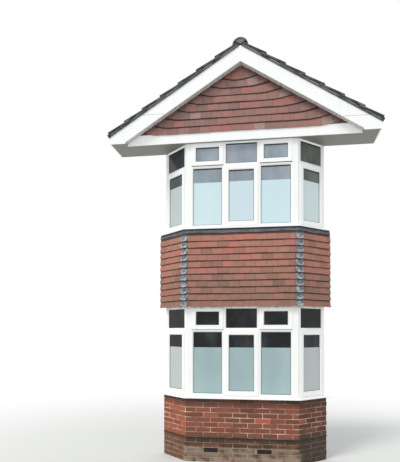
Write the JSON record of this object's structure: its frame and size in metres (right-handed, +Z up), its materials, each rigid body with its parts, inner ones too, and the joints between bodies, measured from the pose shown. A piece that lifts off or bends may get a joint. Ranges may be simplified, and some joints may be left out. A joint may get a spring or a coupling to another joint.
{
  "type": "two-storey bay window",
  "caption": "Canted brick and tile-hung bay window on two storeys with white casements and a gabled roof, cut off at the house wall.",
  "frame": {"origin": "on the ground, on the bay's centre line, in the plane of the house wall's outer face", "axes": "+Z up, -Y out of the front of the bay, +Y into the house, +X to the right seen from outside"},
  "size_m": [4.1442, 0.624, 6.3507],
  "materials": {
    "brick": "rough",
    "blockwork": "rough",
    "damp_proofing": "matt",
    "terracotta": "matt",
    "plaster": "matt",
    "timber": "sawn",
    "painted_board": "painted white",
    "white_plastic": "semi-gloss",
    "pale_soffit": "satin",
    "glazing": "clear, double",
    "frosted_film": "frosted",
    "clay_tile": "matt",
    "lead": "weathered",
    "roof_tile": "weathered concrete",
    "ridge_tile": "weathered concrete",
    "mortar": "rough"
  },
  "bodies": {
    "root": {"plinth": "brick", "air_bricks": "terracotta", "damp_course": "damp_proofing", "outer_leaf": "brick", "inner_leaf": "blockwork", "wall_plaster": "plaster", "ground_floor": "timber", "lower_sill": "white_plastic", "upper_sill": "white_plastic", "window_boards": "painted_board", "corner_posts": "white_plastic", "lower_front_frame": "white_plastic", "lower_left_frame": "white_plastic", "lower_right_frame": "white_plastic", "upper_front_frame": "white_plastic", "upper_left_frame": "white_plastic", "upper_right_frame": "white_plastic", "front_sashes": "white_plastic", "side_casements": "white_plastic", "window_glass": "glazing", "privacy_film": "frosted_film", "spandrel_frame": "timber", "first_floor": "timber", "ceilings": "plaster", "front_hung_tiles": "clay_tile", "left_hung_tiles": "clay_tile", "right_hung_tiles": "clay_tile", "corner_soakers": "lead", "sill_apron": "lead", "upper_beam": "timber", "soffit": "pale_soffit", "gable_fascia": "white_plastic", "eaves_fascias": "white_plastic", "gable_panel": "timber", "gable_tiles": "clay_tile", "verge_soffit": "pale_soffit", "left_bargeboard": "white_plastic", "right_bargeboard": "white_plastic", "rafters": "timber", "ridge_board": "timber", "roof_battens": "timber", "left_roof_tiles": "roof_tile", "right_roof_tiles": "roof_tile", "verge_bedding": "mortar", "ridge_tiles": "ridge_tile"}
  },
  "joints": []
}
